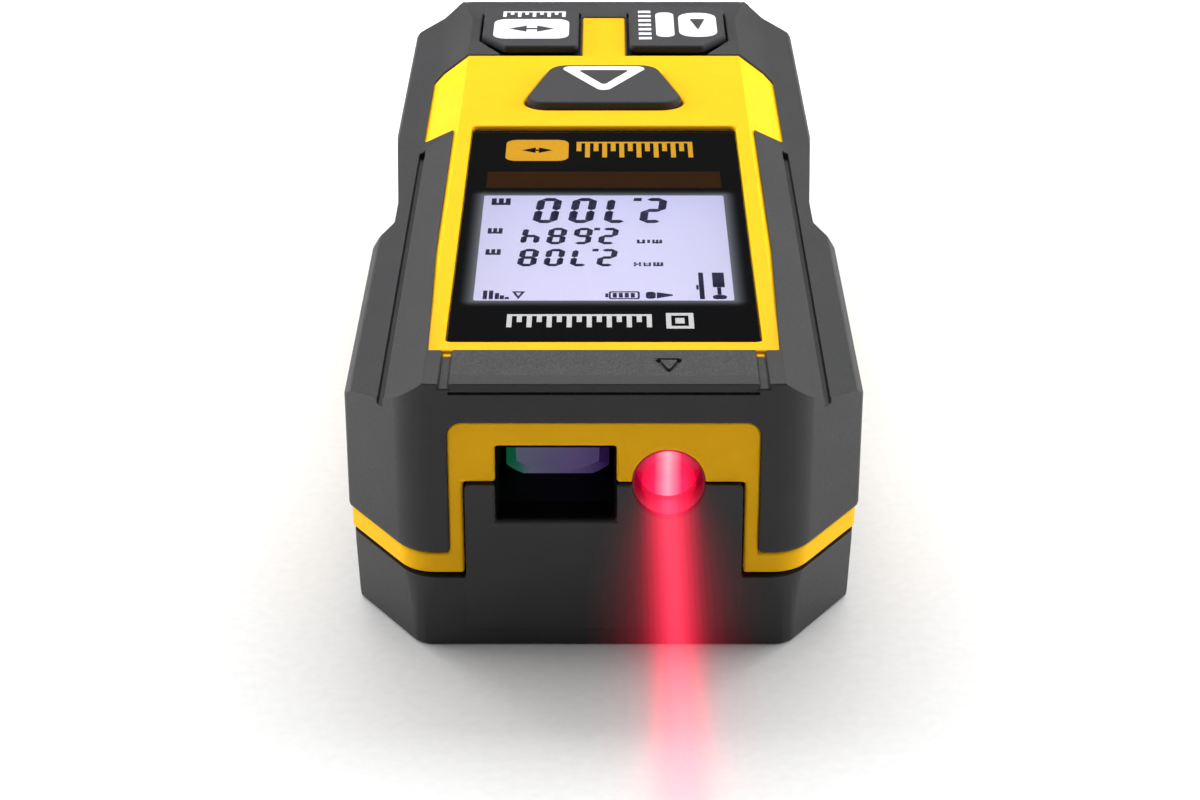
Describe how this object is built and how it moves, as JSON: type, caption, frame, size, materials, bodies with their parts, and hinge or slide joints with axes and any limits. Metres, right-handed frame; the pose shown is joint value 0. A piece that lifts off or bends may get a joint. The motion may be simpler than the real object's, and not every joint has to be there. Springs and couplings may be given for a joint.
{
  "type": "laser distance meter",
  "caption": "Pocket laser distance meter with rubber armour, backlit display, measure button, two rear keys and a battery door.",
  "frame": {"origin": "centre of the footprint, on the surface that the meter rests on", "axes": "+Z out of the display face; -Y towards the laser end; +X completes a right-handed frame"},
  "size_m": [0.05, 0.122, 0.0286],
  "materials": {
    "charcoal_plastic": "fine spark-eroded texture, moulded ABS",
    "yellow_plastic": "smooth satin, moulded PC/ABS",
    "armour_rubber": "grained matte overmould, TPE",
    "black_rubber": "matte seal",
    "key_rubber": "fine matte silicone",
    "white_print": "white moulded symbol",
    "window_acrylic": "polished acrylic, black border printed behind",
    "lcd_glass": "liquid crystal glass, lit lilac",
    "diffuser": "white light guide",
    "black_plastic": "matt black moulding",
    "board_laminate": "green solder mask on glass-fibre laminate",
    "zinc_steel": "zinc plated",
    "spring_steel": "nickel plated",
    "chip_epoxy": "moulded epoxy",
    "tinplate": "satin tinplate",
    "silicone": "translucent silicone",
    "ribbon_film": "amber film with traces",
    "lens_glass": "polished, anti-reflective coated",
    "filter_glass": "red filter glass",
    "brass": "turned",
    "laser_lit_sleeve": "smooth sleeve lit red by the laser",
    "cell_wrap": "plain printed wrap, bare metal ends",
    "label_foil": "blank satin foil"
  },
  "bodies": {
    "housing": {"lower_shell": "charcoal_plastic", "upper_shell": "yellow_plastic", "rubber_armour": "armour_rubber", "parting_seal": "black_rubber", "display_window": "window_acrylic", "window_gasket": "black_rubber", "blank_label_plate": "label_foil", "lanyard_pin": "zinc_steel", "case_screws": "zinc_steel", "left_dome": "silicone", "right_dome": "silicone", "measure_dome": "silicone", "keypad_board": "board_laminate", "keypad_screws": "zinc_steel", "lcd_panel": "lcd_glass", "lcd_backlight": "diffuser", "lcd_frame": "black_plastic", "lcd_connector": "black_rubber", "main_board": "board_laminate", "main_board_screws": "zinc_steel", "microcontroller": "chip_epoxy", "signal_shield": "tinplate", "board_chips": "chip_epoxy", "buzzer": "black_plastic", "ribbon_cable": "ribbon_film", "optics_chassis": "black_plastic", "receiver_hood": "black_plastic", "receiver_lens": "lens_glass", "receiver_filter": "filter_glass", "receiver_sensor": "brass", "receiver_board": "board_laminate", "laser_barrel": "brass", "collimator_lens": "lens_glass", "laser_diode": "brass", "laser_liner": "laser_lit_sleeve", "batteries": "cell_wrap", "battery_plates": "spring_steel", "battery_springs": "spring_steel"},
    "measure_button": {"measure_button": "key_rubber", "measure_symbol": "white_print"},
    "left_key": {"left_key": "key_rubber"},
    "right_key": {"right_key": "key_rubber"},
    "battery_door": {"battery_door": "charcoal_plastic"}
  },
  "joints": [
    {"name": "measure_press", "type": "slide", "parent": "housing", "child": "measure_button", "axis": [0, 0, -1], "range_m": [0, 0.0006], "stiffness_N_per_m": 1500, "springref_m": -0.0004, "deforming": ["measure_dome"]},
    {"name": "left_press", "type": "slide", "parent": "housing", "child": "left_key", "axis": [0, 0, -1], "range_m": [0, 0.0006], "stiffness_N_per_m": 1500, "springref_m": -0.0004, "deforming": ["left_dome"]},
    {"name": "right_press", "type": "slide", "parent": "housing", "child": "right_key", "axis": [0, 0, -1], "range_m": [0, 0.0006], "stiffness_N_per_m": 1500, "springref_m": -0.0004, "deforming": ["right_dome"]},
    {"name": "door_hinge", "type": "hinge", "parent": "housing", "child": "battery_door", "pos_m": [0, 0.00495, 0.0011], "axis": [-1, 0, 0], "range_deg": [0, 75]}
  ]
}
